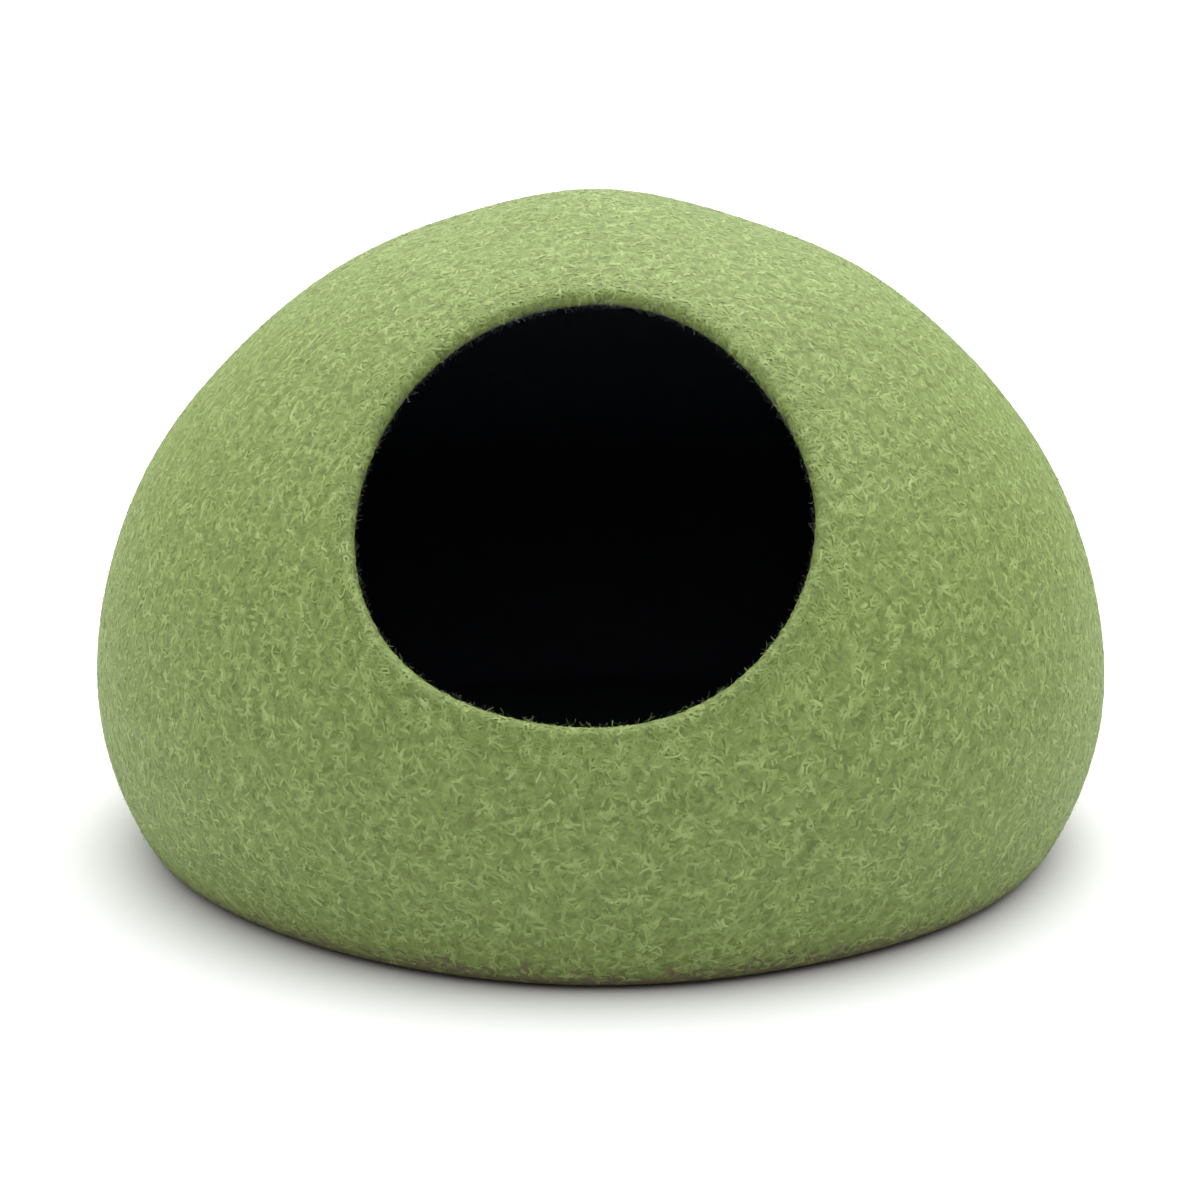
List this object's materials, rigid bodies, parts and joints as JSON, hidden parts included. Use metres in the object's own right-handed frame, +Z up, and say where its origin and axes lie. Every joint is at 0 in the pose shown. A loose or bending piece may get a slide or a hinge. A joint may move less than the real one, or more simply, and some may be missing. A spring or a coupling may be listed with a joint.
{
  "type": "felt cat cave",
  "caption": "One-piece cat cave of thick green wool felt: a low dome pressed flat where it stands, with a round entrance that leans back in its front.",
  "frame": {"origin": "middle of the flat base on the floor, halfway between the outermost points left and right and front and back", "axes": "+Z up, the entrance faces -Y and leans back, +X to the right of someone who looks into the entrance"},
  "size_m": [0.4601, 0.455, 0.2952],
  "materials": {
    "wool_felt": "wet-felted wool, leaf green with paler curled fibres outside, near-black wool inside, matt with a soft sheen at its edges"
  },
  "bodies": {
    "root": {"felt_cave": "wool_felt"}
  },
  "joints": []
}
